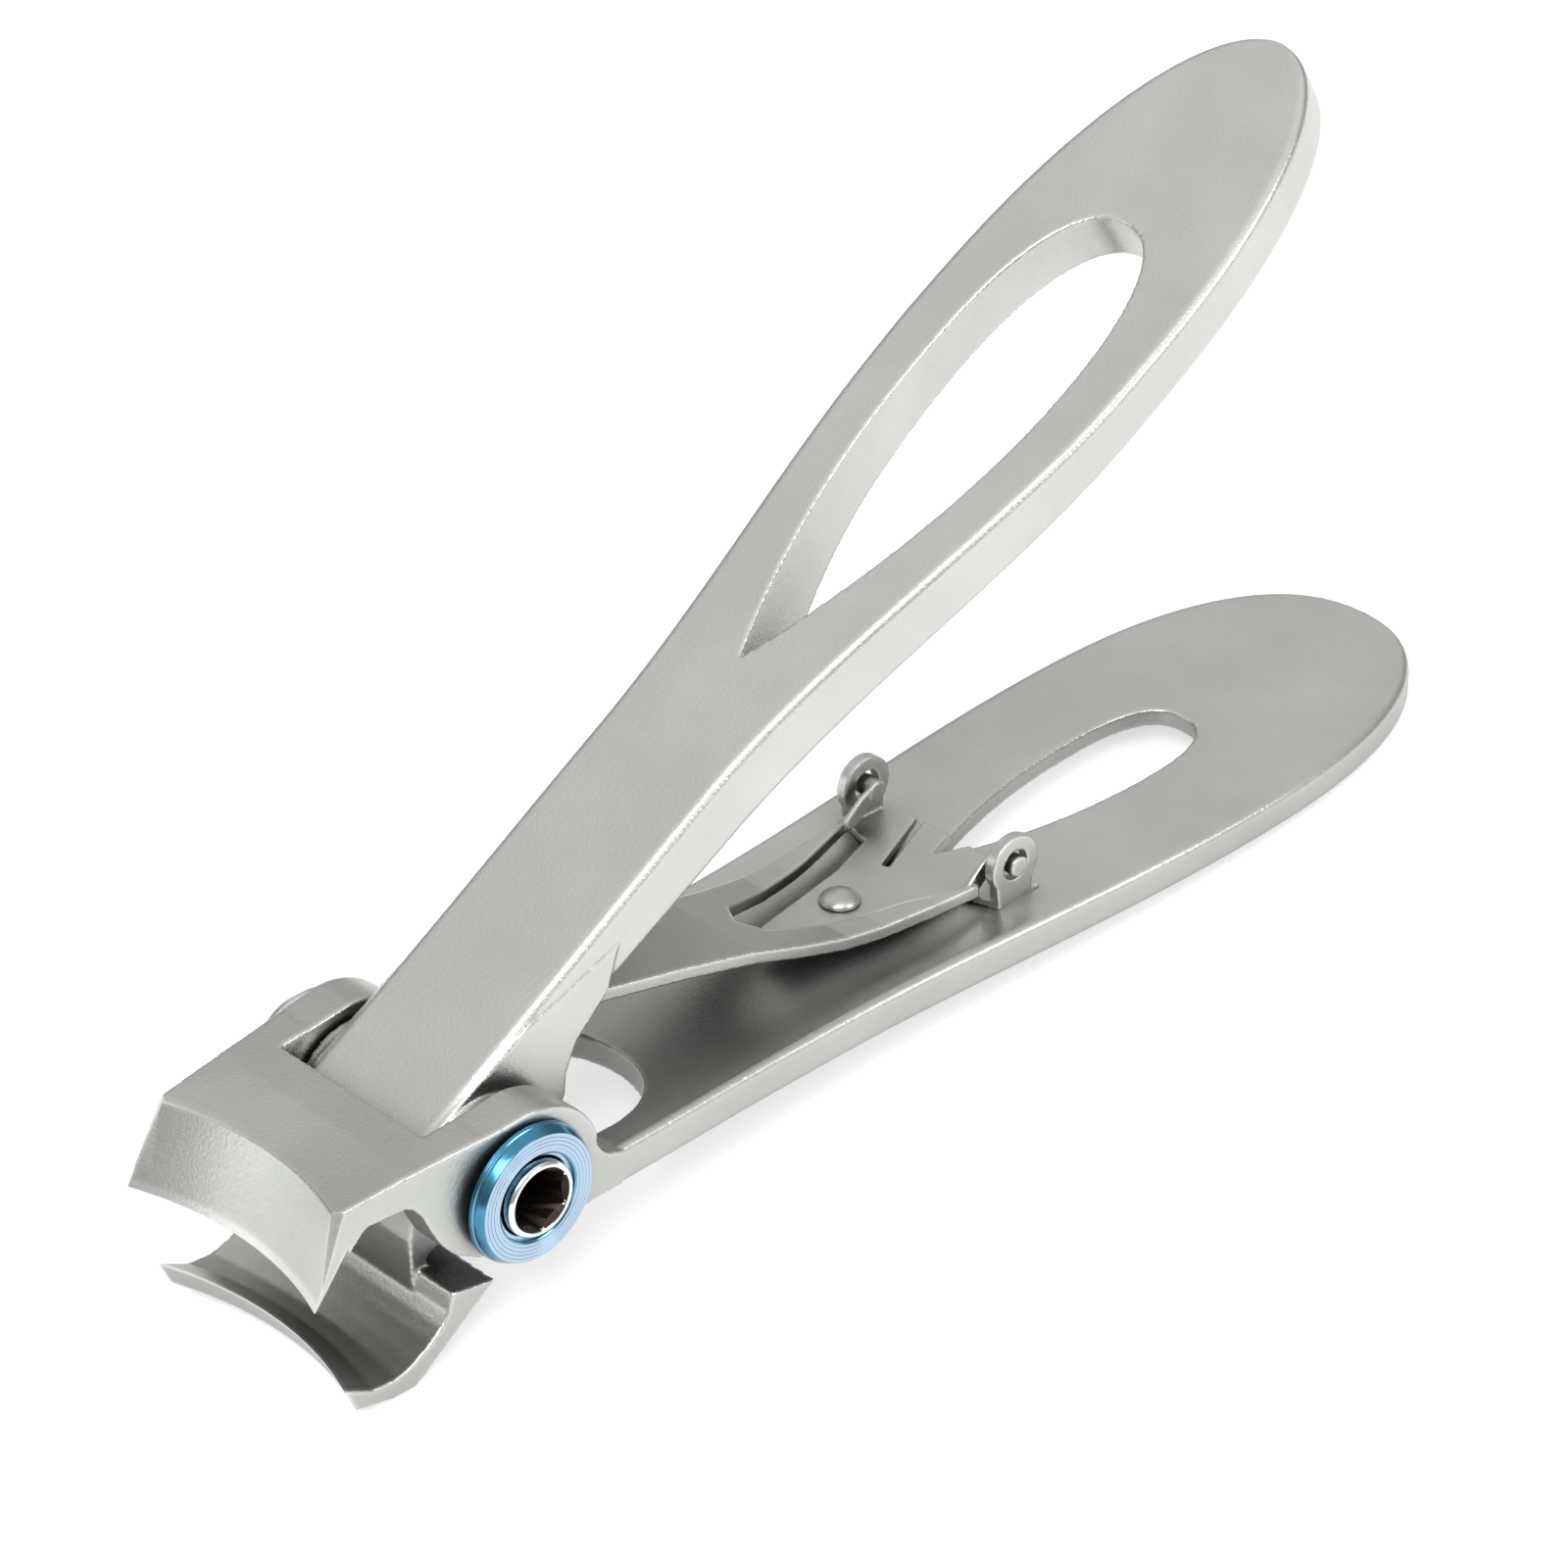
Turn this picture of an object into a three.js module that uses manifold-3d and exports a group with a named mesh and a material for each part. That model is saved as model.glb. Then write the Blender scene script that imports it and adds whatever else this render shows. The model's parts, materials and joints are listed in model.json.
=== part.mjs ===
// Pliers-type nail clipper. Millimetres, +Z up.
// The design frame has its origin on the pivot axle, +X towards the handles, +Y along the axle.
// The whole assembly is then pitched so that it stands on its lower jaw and its lower handle.
import * as THREE from "three";
import { mergeVertices } from "three/addons/utils/BufferGeometryUtils.js";
import Module from "manifold-3d";

const wasm = await Module();
wasm.setup();

// ---------- driving dimensions ----------
const DEG = Math.PI / 180;
const LEVER_ANGLE = 30.1 * DEG;      // upper lever above the lower handle, open
const STAND_PITCH = 6.85 * DEG;      // nose-up pitch of the handle when the clipper stands
const STAND_LEVEL = -8.95;           // the plane that it stands on, square to the pitched vertical

const HANDLE = { start: 4, widest: 58, tip: 78, tipPower: 2.4 };
const HANDLE_HALF = { front: 8.9, waist: 8.5, rear: 10.55, waistAt: 20, flareFrom: 24 };
const HANDLE_RIM = { front: -0.75, rise: 3.05, power: 1.7, from: 5, length: 73 };
const HANDLE_THICK = { front: 2.5, rear: 2.25, from: 30, to: 65 };
const TROUGH = { depth: 1.25, bow: 0.55, fadeFrom: 33, fadeTo: 41, margin: 0.5 };
const LOWER_TEAR = { tip: 39.9, widest: 55, end: 61.4, halfWidth: 3.02, power: 2.6 };
const TEAR_POCKET = { tip: 37, widest: 55, end: 63.6, halfWidth: 5.2, power: 2.6, sheet: 1.2 };

const LEVER = { start: -2.2, widest: 58, tip: 80.4, tipPower: 2.15 };
const LEVER_HALF = { front: 5.0, rear: 8.5, from: 23, to: 56 };
const LEVER_TOP = { height: 4.3, rise: 0.3, from: 8, to: 28, bow: 0.5, bowLength: 52 };
const LEVER_BOTTOM = { front: 1.0, rear: 1.2, from: 45, to: 62 };
const LEVER_BELLY = { depth: 1.2, centre: 31, reach: 15 };
const UPPER_TEAR = { tip: 31, widest: 54, end: 65.6, halfWidth: 4.95, power: 2.3 };

const EAR = { x: 0.45, z: -0.45, radius: 5.15, inner: 6.0, outer: 8.9, floor: -3.3, tail: 8.2 };
const HEAD_UNDERSIDE = 1.87;
const SLOT = { front: -4.6, rearCentre: 8.6 };
const BLADE = { hollowRadius: 22, halfWidth: 8.1 };
const KNUCKLE = { halfWidth: 5.1, padHalfWidth: 5.8, padRadius: 4.0 };
const AXLE = { radius: 2.3, clearance: 0.12, screwRadius: 1.2 };
const COLLAR = { radius: 4.2, faceRadius: 3.85, height: 1.05, rim: 0.55, gap: 0.1 };
const COLLAR_RECESS = { radius: 2.65, depth: 0.35 };
const NUT = { innerEnd: 7.5, chamfer: 0.25, mouthRadius: 1.95, mouthDepth: 0.35, threadFrom: -3.5 };
const SCREW = { start: -3, chamfer: 0.3, headGap: 0.3, socketDepth: 2, socketScale: 0.8 };
const SOCKET = { acrossFlats: 3.3, depth: 3.0, proud: 0.3 };
const SPRING = { thickness: 0.9, tipHalf: 2.6, tipX: 8.3 };
const SPRING_FORK = { x: 23.9, half: 1.7, spread: 0.19 };
const SPRING_ARM = { bendX: 30, bendHalf: 4.7, end: 38.4, rearHalf: 5.55, rearInner: 4.85 };
const EYELET = { x: 40.1, z: 2.5, radius: 1.85, hole: 0.95, inner: 5.85, thick: 0.75, foot: 1.3 };
const PIN = { radius: 0.65, proud: 0.35 };
const BRACKET = { thick: 0.55, seat: -0.1, frontX: 27, frontHalf: 1.2, crossFrom: 38.8, crossTo: 42.9 };
const BRACKET_SLIT = { x: 36.9, y: 1.0, length: 5.9, width: 0.5, turn: 24 * DEG };
const RIVET = { x: 32.2, headRadius: 1.25, headHeight: 0.65, shank: 0.6 };
const EDGE_ROUND = 0.6;
const FIT_GAP = 0.12;                // between pieces that touch
const FAR = 40;                      // longer than anything that a cutter has to pass through
const LEVER_END = 90;                // beyond the tips of both handles

// ---------- shape helpers ----------
const smooth = (t) => {
  const u = Math.min(1, Math.max(0, t));
  return u * u * (3 - 2 * u);
};
const mix = (a, b, t) => a + (b - a) * t;
const range = (count) => Array.from({ length: count }, (_, i) => i);
const superEllipse = (u, power) => Math.pow(Math.max(0, 1 - Math.pow(u, power)), 1 / power);

function solid(geometry) {
  const merged = mergeVertices(stripped(geometry));
  const mesh = new wasm.Mesh({
    numProp: 3,
    vertProperties: Float32Array.from(merged.attributes.position.array),
    triVerts: Uint32Array.from(merged.index.array),
  });
  return new wasm.Manifold(mesh);
}

function stripped(geometry) {
  const copy = geometry.clone();
  copy.deleteAttribute("normal");
  copy.deleteAttribute("uv");
  return copy;
}

function toGeometry(manifold) {
  const data = manifold.getMesh();
  const geometry = new THREE.BufferGeometry();
  geometry.setAttribute("position", new THREE.BufferAttribute(data.vertProperties, 3));
  geometry.setIndex(new THREE.BufferAttribute(data.triVerts, 1));
  return geometry;
}

// The same body, turned about the axle.
function turnedAboutAxle(manifold, angle) {
  const geometry = toGeometry(manifold).rotateY(angle);
  const mesh = new wasm.Mesh({
    numProp: 3,
    vertProperties: geometry.attributes.position.array,
    triVerts: geometry.index.array,
  });
  return new wasm.Manifold(mesh);
}

function toMesh(manifold, name, look) {
  const geometry = toGeometry(manifold);
  geometry.computeVertexNormals();
  const mesh = new THREE.Mesh(geometry, new THREE.MeshStandardMaterial(look));
  mesh.name = name;
  return mesh;
}

// A closed skin over rings of [x, y, z] points, all with the same number of points.
function loft(rings) {
  const size = rings[0].length;
  const points = rings.flat();
  const faces = [];
  for (const r of range(rings.length - 1)) {
    for (const k of range(size)) {
      const a = r * size + k;
      const b = r * size + ((k + 1) % size);
      faces.push(a, b, b + size, a, b + size, a + size);
    }
  }
  for (const [ring, wanted] of [[0, -1], [rings.length - 1, 1]]) {
    const contour = rings[ring].map((p) => new THREE.Vector2(...capPlane(rings[ring], p)));
    const turn = wanted * Math.sign(THREE.ShapeUtils.area(contour));
    for (const [a, b, c] of THREE.ShapeUtils.triangulateShape(contour, [])) {
      const area = THREE.ShapeUtils.area([contour[a], contour[b], contour[c]]);
      const cap = area * turn > 0 ? [a, b, c] : [a, c, b];
      faces.push(...cap.map((k) => ring * size + k));
    }
  }
  return orient(points, faces);
}

// Coordinates of a cap point in the plane that its ring lies in.
function capPlane(ring, point) {
  const spread = [0, 1, 2].map((k) => {
    const values = ring.map((p) => p[k]);
    return Math.max(...values) - Math.min(...values);
  });
  return spread[1] > spread[0] ? [point[1], point[2]] : [point[0], point[2]];
}

function orient(points, faces) {
  let volume = 0;
  const corner = (k) => new THREE.Vector3(...points[faces[k]]);
  for (let k = 0; k < faces.length; k += 3) {
    volume += corner(k).dot(corner(k + 1).cross(corner(k + 2)));
  }
  const geometry = new THREE.BufferGeometry();
  geometry.setAttribute("position", new THREE.Float32BufferAttribute(points.flat(), 3));
  geometry.setIndex(volume < 0 ? [...faces].reverse() : faces);
  return solid(geometry);
}

// The same plan points on the other side of the middle line, in the opposite order.
const mirrored = (points) => points.map(([x, y]) => [x, -y]).reverse();

function extrude(outline, depth) {
  const shape = new THREE.Shape(outline.map(([a, b]) => new THREE.Vector2(a, b)));
  return new THREE.ExtrudeGeometry(shape, { depth, bevelEnabled: false, curveSegments: 24 });
}

// An outline in X and Z, extruded along Y from y0 to y1.
function alongY(outline, y0, y1) {
  return solid(extrude(outline, y1 - y0).rotateX(Math.PI / 2).translate(0, y1, 0));
}

// An outline in X and Y, extruded along Z from z0 to z1.
function alongZ(outline, z0, z1) {
  return solid(extrude(outline, z1 - z0).translate(0, 0, z0));
}

function arc(cx, cy, radius, from, to, steps) {
  return range(steps + 1).map((k) => {
    const angle = mix(from, to, k / steps) * DEG;
    return [cx + radius * Math.cos(angle), cy + radius * Math.sin(angle)];
  });
}

function discY(x, z, radius, y0, y1, steps = 40) {
  return alongY(arc(x, z, radius, 0, 360, steps).slice(0, -1), y0, y1);
}

// A turned piece on the axle: profile of [radius, y] points from the axis and back to it.
function turned(profile, steps = 40) {
  return solid(new THREE.LatheGeometry(profile.map(([r, y]) => new THREE.Vector2(r, y)), steps));
}

// Everything below the plane that the clipper stands on.
function belowStand() {
  const level = (x) => (STAND_LEVEL + x * Math.sin(STAND_PITCH)) / Math.cos(STAND_PITCH);
  const end = LEVER_END;
  return alongY([[-FAR, -FAR], [end, -FAR], [end, level(end)], [-FAR, level(-FAR)]], -FAR, FAR);
}

// ---------- outlines shared by the two handles ----------
function tearHalfWidth(tear, x) {
  if (x < tear.widest) {
    const back = 1 - (x - tear.tip) / (tear.widest - tear.tip);
    return tear.halfWidth * (1 - back * back);
  }
  return tear.halfWidth * superEllipse((x - tear.widest) / (tear.end - tear.widest), tear.power);
}

function tearOutline(tear) {
  const xs = range(29).map((k) => mix(tear.tip, tear.end, (1 - Math.cos((Math.PI * k) / 28)) / 2));
  const side = xs.map((x) => [x, tearHalfWidth(tear, x)]);
  return [...side, ...mirrored(side.slice(1, -1))];
}

// Stations along a handle, closer together where the plan is rounded off at the tip.
function stations(from, widest, tip, straight, round) {
  const first = range(straight).map((k) => mix(from, widest, k / straight));
  const last = range(round).map((k) => mix(widest, tip, Math.sin((Math.PI / 2) * (k / (round - 0.6)))));
  return [...first, ...last];
}

// The section of a handle: half-width, rim height, thickness, hollow of the top and belly below.
function handleSection({ half, top, thick, hollow, belly, margin }) {
  const round = Math.min(EDGE_ROUND, half * 0.45, thick * 0.45);
  const flat = half - round;
  const right = [];
  for (const f of [0, 0.3, 0.55, 0.78, 1]) {
    const y = flat * f;
    const u = Math.min(1, y / Math.max(0.1, half - margin));
    right.push([y, top - hollow * (1 - u * u)]);
  }
  const upper = top - round;
  const lower = top - thick + round;
  for (const [angle, centre] of [[60, upper], [15, upper], [-15, lower], [-60, lower]]) {
    right.push([flat + round * Math.cos(angle * DEG), centre + round * Math.sin(angle * DEG)]);
  }
  for (const f of [1, 0.66, 0.33, 0]) {
    right.push([flat * f, top - thick - belly * (1 - f * f)]);
  }
  const left = right.slice(1, -1).reverse().map(([y, z]) => [-y, z]);
  return [...right, ...left];
}

// ---------- lower handle, with the head, ears and fixed upper blade ----------
function lowerHalfWidth(x) {
  if (x > HANDLE.widest) {
    const u = (x - HANDLE.widest) / (HANDLE.tip - HANDLE.widest);
    return HANDLE_HALF.rear * superEllipse(u, HANDLE.tipPower);
  }
  const { front, waist, rear, waistAt, flareFrom } = HANDLE_HALF;
  const narrowed = mix(front, waist, smooth((x - HANDLE.start) / (waistAt - HANDLE.start)));
  return mix(narrowed, rear, smooth((x - flareFrom) / (HANDLE.widest - flareFrom)));
}

const lowerRim = (x) => {
  const t = Math.max(0, (x - HANDLE_RIM.from) / HANDLE_RIM.length);
  return HANDLE_RIM.front + HANDLE_RIM.rise * Math.pow(t, HANDLE_RIM.power);
};

function troughDepth(x) {
  return TROUGH.depth * (1 - smooth((x - TROUGH.fadeFrom) / (TROUGH.fadeTo - TROUGH.fadeFrom)));
}

function lowerThickness(x) {
  const { front, rear, from, to } = HANDLE_THICK;
  return mix(front, rear, smooth((x - from) / (to - from)));
}

function lowerHandleBar() {
  const rings = stations(HANDLE.start, HANDLE.widest, HANDLE.tip, 26, 13).map((x) => {
    const section = handleSection({
      half: lowerHalfWidth(x),
      top: lowerRim(x),
      thick: lowerThickness(x),
      hollow: troughDepth(x),
      belly: (TROUGH.bow * troughDepth(x)) / TROUGH.depth,
      margin: TROUGH.margin,
    });
    return section.map(([y, z]) => [x, y, z]);
  });
  return loft(rings);
}

// Each ear is a plate round the axle that runs into the head in front and the handle behind.
function ears() {
  const tailTop = lowerRim(EAR.tail) - 0.15;
  const outline = [
    [-7.6, HEAD_UNDERSIDE], [-7.6, 3.9], [-4.6, 4.15],
    ...arc(EAR.x, EAR.z, EAR.radius, 90, 16, 13),
    ...arc(7, 0.95, 1.7, 185, 262, 6),
    [EAR.tail, tailTop], [EAR.tail, tailTop - HANDLE_THICK.front + 0.3],
    [5.5, -3.1], [3.2, EAR.floor], [-2.9, EAR.floor],
    [-4.6, -2.4], [-5.45, -1.4], [-6.1, -0.15], [-6.55, 0.9], [-7.1, 1.6],
  ];
  const half = [[-8, 8.05], [-4.6, 8.4], [-1.6, 8.75], [0.8, EAR.outer], [12, EAR.outer]];
  const plan = [...half, ...mirrored(half)];
  const between = [[-8, -8], [2, -8], [2, HEAD_UNDERSIDE], [-8, HEAD_UNDERSIDE]];
  return alongY(outline, -EAR.outer, EAR.outer)
    .intersect(alongZ(plan, -FAR, FAR))
    .subtract(alongY(between, -EAR.inner, EAR.inner));
}

const hollow = (y) => BLADE.hollowRadius - Math.sqrt(BLADE.hollowRadius ** 2 - y * y);

// A jaw is one profile carried across Y. Each point has x, z, how far it follows the hollow
// front of the blade (0 to 1) and its half-width.
function jaw(profile) {
  const rings = range(17).map((k) => {
    const v = mix(-1, 1, k / 16);
    return profile.map(([x, z, follow, half]) => [x - follow * hollow(v * half), v * half, z]);
  });
  return loft(rings);
}

function head() {
  const w = BLADE.halfWidth;
  return jaw([
    [-2.6, 4.4, 0, 8.45], [-7.2, 4.0, 0, 8.1], [-10.3, 3.5, 1, 7.65], [-10.75, 3.2, 1, 7.65],
    [-12.8, -1.3, 1, w], [-13.1, -2.05, 1, w], [-12.0, -0.9, 1, w], [-10.0, 1.3, 1, 7.9],
    [-9.0, HEAD_UNDERSIDE, 0.8, 7.9], [-2.6, HEAD_UNDERSIDE, 0, 8.45],
  ]);
}

function slotCutter() {
  const outline = [
    [SLOT.front, -EAR.inner],
    ...arc(SLOT.rearCentre, 0, EAR.inner, -90, 90, 24),
    [SLOT.front, EAR.inner],
  ];
  return alongZ(outline, -FAR, FAR);
}

// Under the teardrop the handle is hollowed out to a thin sheet.
function tearPocket() {
  const { tip, end, sheet } = TEAR_POCKET;
  const under = [[tip - 1, -FAR], [end + 1, -FAR]];
  for (const x of [end + 1, LOWER_TEAR.widest, tip - 1]) {
    under.push([x, lowerRim(x) - sheet]);
  }
  return alongZ(tearOutline(TEAR_POCKET), -FAR, FAR).intersect(alongY(under, -FAR, FAR));
}

function lowerHandle() {
  const blank = lowerHandleBar().add(ears()).add(head());
  const bore = discY(0, 0, AXLE.radius + FIT_GAP, -FAR, FAR);
  const tear = alongZ(tearOutline(LOWER_TEAR), -FAR, FAR);
  return blank
    .subtract(slotCutter())
    .subtract(bore)
    .subtract(tear)
    .subtract(tearPocket())
    .subtract(bracketSeat())
    .subtract(belowStand());
}

// ---------- upper lever, with the pivot knuckle and the moving lower jaw ----------
function upperHalfWidth(s) {
  if (s > LEVER.widest) {
    const u = (s - LEVER.widest) / (LEVER.tip - LEVER.widest);
    return LEVER_HALF.rear * superEllipse(u, LEVER.tipPower);
  }
  const { front, rear, from, to } = LEVER_HALF;
  return mix(front, rear, smooth((s - from) / (to - from)));
}

const leverTop = (s) => {
  const { height, rise, from, to, bow, bowLength } = LEVER_TOP;
  const t = Math.min(1, Math.max(0, s / bowLength));
  return height + rise * smooth((s - from) / (to - from)) + bow * Math.sin(Math.PI * t);
};

const leverBottom = (s) => {
  const t = smooth((s - LEVER_BOTTOM.from) / (LEVER_BOTTOM.to - LEVER_BOTTOM.from));
  return mix(LEVER_BOTTOM.front, LEVER_BOTTOM.rear, t);
};

const leverBelly = (s) => {
  const { depth, centre, reach } = LEVER_BELLY;
  return depth * (1 - smooth(Math.abs(s - centre) / reach));
};

function leverBar() {
  const rings = stations(LEVER.start, LEVER.widest, LEVER.tip, 26, 13).map((s) => {
    const section = handleSection({
      half: upperHalfWidth(s),
      top: leverTop(s),
      thick: leverTop(s) - leverBottom(s),
      hollow: 0,
      belly: leverBelly(s),
      margin: 0,
    });
    return section.map(([y, h]) => [s, y, h]);
  });
  const flat = loft(rings).subtract(alongZ(tearOutline(UPPER_TEAR), -FAR, FAR));
  return turnedAboutAxle(flat, -LEVER_ANGLE);
}

function knuckle() {
  const outline = [
    [-3.75, 2.3], [-3.2, 3.0], [3.0, 6.5], [10.5, 9.4], [9.6, 6.6], [7.4, 4.6], [6.5, 2.8],
    [6.4, 1.6], [5.9, 0.2],
    ...arc(0, 0, 5.3, -18, -126, 12),
    [-3.9, -4.6], [-3.9, -6.8], [-5.0, -6.4], [-5.1, -3.0], [-4.4, 0.3],
  ];
  const block = alongY(outline, -KNUCKLE.halfWidth, KNUCKLE.halfWidth);
  const pads = discY(0, 0, KNUCKLE.padRadius, -KNUCKLE.padHalfWidth, KNUCKLE.padHalfWidth);
  return block.add(pads);
}

function lowerJaw() {
  const w = BLADE.halfWidth;
  return jaw([
    [-1.5, -5.6, 0, w], [-4.6, -5.05, 0, w], [-4.9, -6.25, 0, w], [-6.2, -7.6, 0, w],
    [-7.2, -8.35, 0.2, w], [-8.0, -8.75, 0.5, w], [-9.2, -8.6, 0.8, w], [-11.4, -7.5, 1, w],
    [-10.8, -8.7, 1, w], [-8.3, -9.9, 0.5, w], [-7.4, -9.95, 0, w],
  ]);
}

function upperLever() {
  const bore = discY(0, 0, AXLE.radius + FIT_GAP, -FAR, FAR);
  return leverBar().add(knuckle()).add(lowerJaw()).subtract(bore).subtract(belowStand());
}

// ---------- pivot ----------
function collar(side) {
  const bore = AXLE.radius + AXLE.clearance;
  const base = EAR.outer + COLLAR.gap;
  const { radius, faceRadius, height, rim } = COLLAR;
  const { radius: recess, depth } = COLLAR_RECESS;
  const profile = [
    [bore, 0], [radius, 0], [radius, rim], [faceRadius, height], [recess, height],
    [recess, height - depth], [bore, height - depth], [bore, 0],
  ].map(([r, y]) => [r, side * (base + y)]);
  return turned(side > 0 ? profile : [...profile].reverse());
}

function hexOutline(acrossFlats) {
  return arc(0, 0, acrossFlats / Math.sqrt(3), 30, 390, 6).slice(0, -1);
}

const PIVOT_END = EAR.outer + COLLAR.gap + COLLAR.height + SOCKET.proud;

function barrelNut() {
  const { radius } = AXLE;
  const { innerEnd, chamfer, mouthRadius, mouthDepth, threadFrom } = NUT;
  const floor = mouthDepth - PIVOT_END;
  const body = turned([
    [0, -PIVOT_END], [radius - chamfer, -PIVOT_END], [radius, chamfer - PIVOT_END],
    [radius, innerEnd], [0, innerEnd],
  ]);
  const mouth = turned([
    [0, -FAR], [mouthRadius, -FAR], [mouthRadius, -PIVOT_END], [mouthRadius - mouthDepth, floor],
    [0, floor],
  ]);
  const socket = alongY(hexOutline(SOCKET.acrossFlats), -FAR, SOCKET.depth - PIVOT_END);
  const thread = discY(0, 0, AXLE.screwRadius + FIT_GAP, threadFrom, FAR, 24);
  return body.subtract(mouth).subtract(socket).subtract(thread);
}

function pivotScrew() {
  const shank = AXLE.screwRadius;
  const { start, chamfer, headGap, socketDepth, socketScale } = SCREW;
  const headFrom = NUT.innerEnd + headGap;
  const body = turned([
    [0, start], [shank - chamfer, start], [shank, start + chamfer], [shank, headFrom],
    [AXLE.radius, headFrom], [AXLE.radius, PIVOT_END - chamfer], [AXLE.radius - chamfer, PIVOT_END],
    [0, PIVOT_END],
  ]);
  const socket = alongY(hexOutline(SOCKET.acrossFlats * socketScale), PIVOT_END - socketDepth, FAR);
  return body.subtract(socket);
}

// ---------- return spring, its bracket and rivet ----------
const plateTop = BRACKET.seat + BRACKET.thick;

function bracketPlan(grow) {
  const outer = EYELET.inner + EYELET.thick + grow;
  const half = [
    [BRACKET.frontX - grow, BRACKET.frontHalf + grow], [34.5, 2.6 + grow], [38.0, 3.9 + grow],
    [BRACKET.crossFrom - grow, outer], [BRACKET.crossTo + grow, outer],
  ];
  return [...half, ...mirrored(half)];
}

function bracketSeat() {
  return alongZ(bracketPlan(FIT_GAP), BRACKET.seat - FIT_GAP, FAR)
    .subtract(alongZ(tearOutline(LOWER_TEAR), -FAR, FAR));
}

// A narrow relief slit that runs at a slant across the far half of the bracket.
function bracketSlit() {
  const { x, y, length, width, turn } = BRACKET_SLIT;
  const bar = new THREE.BoxGeometry(length, width, FAR).translate(length / 2, 0, 0);
  return solid(bar.rotateZ(turn).translate(x, y, 0));
}

function springBracket() {
  const { x, z, radius, inner, thick, foot } = EYELET;
  const lugFoot = BRACKET.seat + 0.05;
  const lug = [...arc(x, z, radius, -38, 218, 20), [x - foot, lugFoot], [x + foot, lugFoot]];
  let bracket = alongZ(bracketPlan(0), BRACKET.seat, plateTop);
  for (const y of [inner, -inner - thick]) {
    bracket = bracket.add(alongY(lug, y, y + thick));
  }
  const holes = discY(x, z, EYELET.hole, -FAR, FAR, 20);
  const rivetHole = arc(RIVET.x, 0, RIVET.shank + FIT_GAP, 0, 360, 20).slice(0, -1);
  return bracket
    .subtract(holes)
    .subtract(bracketSlit())
    .subtract(alongZ(rivetHole, -FAR, FAR))
    .subtract(alongZ(tearOutline(LOWER_TEAR), -FAR, FAR));
}

function bracketRivet() {
  const { x, headRadius, headHeight, shank } = RIVET;
  const under = plateTop + FIT_GAP;
  const dome = arc(0, 0, 1, 0, 90, 6).slice(0, -1);
  const profile = [
    [0, BRACKET.seat], [shank, BRACKET.seat], [shank, under],
    ...dome.map(([c, s]) => [headRadius * c, under + headHeight * s]),
    [0, under + headHeight],
  ];
  const points = profile.map(([r, h]) => new THREE.Vector2(r, h));
  return solid(new THREE.LatheGeometry(points, 28).rotateX(Math.PI / 2).translate(x, 0, 0));
}

function springSheet() {
  const lower = [
    [8.3, 3.75], [9.2, 4.0], [11.6, 3.95], [17, 3.2], [21.9, 2.35],
    [25.5, 1.4], [28.5, 0.75], [31.2, 0.5], [35, 0.5], [38.4, 0.62],
  ];
  const upper = lower.map(([x, z]) => [x, z + SPRING.thickness]).reverse();
  return alongY([...lower, ...upper], -FAR, FAR);
}

// The plan of the spring: a round front end, and two arms on either side of a fork.
function springPlan() {
  const { tipHalf, tipX } = SPRING;
  const { bendX, bendHalf, end, rearHalf } = SPRING_ARM;
  const fork = SPRING_FORK;
  const inner = (x) => fork.half + (x - fork.x) * fork.spread;
  const arm = [
    [bendX, bendHalf], [end, rearHalf], [end, inner(end) + 0.8], [33, inner(33) + 0.15],
    [fork.x + 1, inner(fork.x)],
  ];
  return [
    ...arc(tipX + tipHalf, 0, tipHalf, 90, 270, 12),
    ...arm.map(([x, y]) => [x, -y]), [fork.x, 0], ...[...arm].reverse(),
  ];
}

// Each arm turns up at its rear end and carries a pin that runs in the eyelet of the bracket.
function returnSpring() {
  const { rearHalf, rearInner } = SPRING_ARM;
  const rise = [[37.5, 0.65], [38.4, 0.75], [39.7, 1.95], [39.7, 2.95], [38.8, 2.5], [37.5, 1.4]];
  const reach = EYELET.inner + EYELET.thick + PIN.proud;
  let spring = springSheet().intersect(alongZ(springPlan(), -FAR, FAR));
  for (const side of [-1, 1]) {
    const upturn = [side * rearInner, side * rearHalf].sort((a, b) => a - b);
    const pin = [side * rearInner, side * reach].sort((a, b) => a - b);
    spring = spring
      .add(alongY(rise, ...upturn))
      .add(discY(EYELET.x, EYELET.z, PIN.radius, ...pin, 16));
  }
  return spring;
}

// ---------- assembly ----------
const SATIN_STEEL = { color: 0xb4b8b0, roughness: 0.36, metalness: 0.95 };
const PALE_STEEL = { color: 0xc3c6be, roughness: 0.34, metalness: 0.95 };
const SPRING_STEEL = { color: 0xa9ada6, roughness: 0.3, metalness: 0.95 };
const BRIGHT_STEEL = { color: 0xd2d2ce, roughness: 0.15, metalness: 1.0 };
const BLUE_ANODISED = { color: 0x4f9fcf, roughness: 0.28, metalness: 0.85 };

const clipper = new THREE.Group();
clipper.add(
  toMesh(lowerHandle(), "lower_handle", SATIN_STEEL),
  toMesh(upperLever(), "upper_lever", PALE_STEEL),
  toMesh(barrelNut(), "pivot_barrel_nut", BRIGHT_STEEL),
  toMesh(pivotScrew(), "pivot_screw", BRIGHT_STEEL),
  toMesh(collar(-1), "blue_collar", BLUE_ANODISED),
  toMesh(collar(1), "steel_collar", BRIGHT_STEEL),
  toMesh(returnSpring(), "return_spring", SPRING_STEEL),
  toMesh(springBracket(), "spring_bracket", SATIN_STEEL),
  toMesh(bracketRivet(), "bracket_rivet", BRIGHT_STEEL),
);
clipper.rotation.y = STAND_PITCH;

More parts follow.
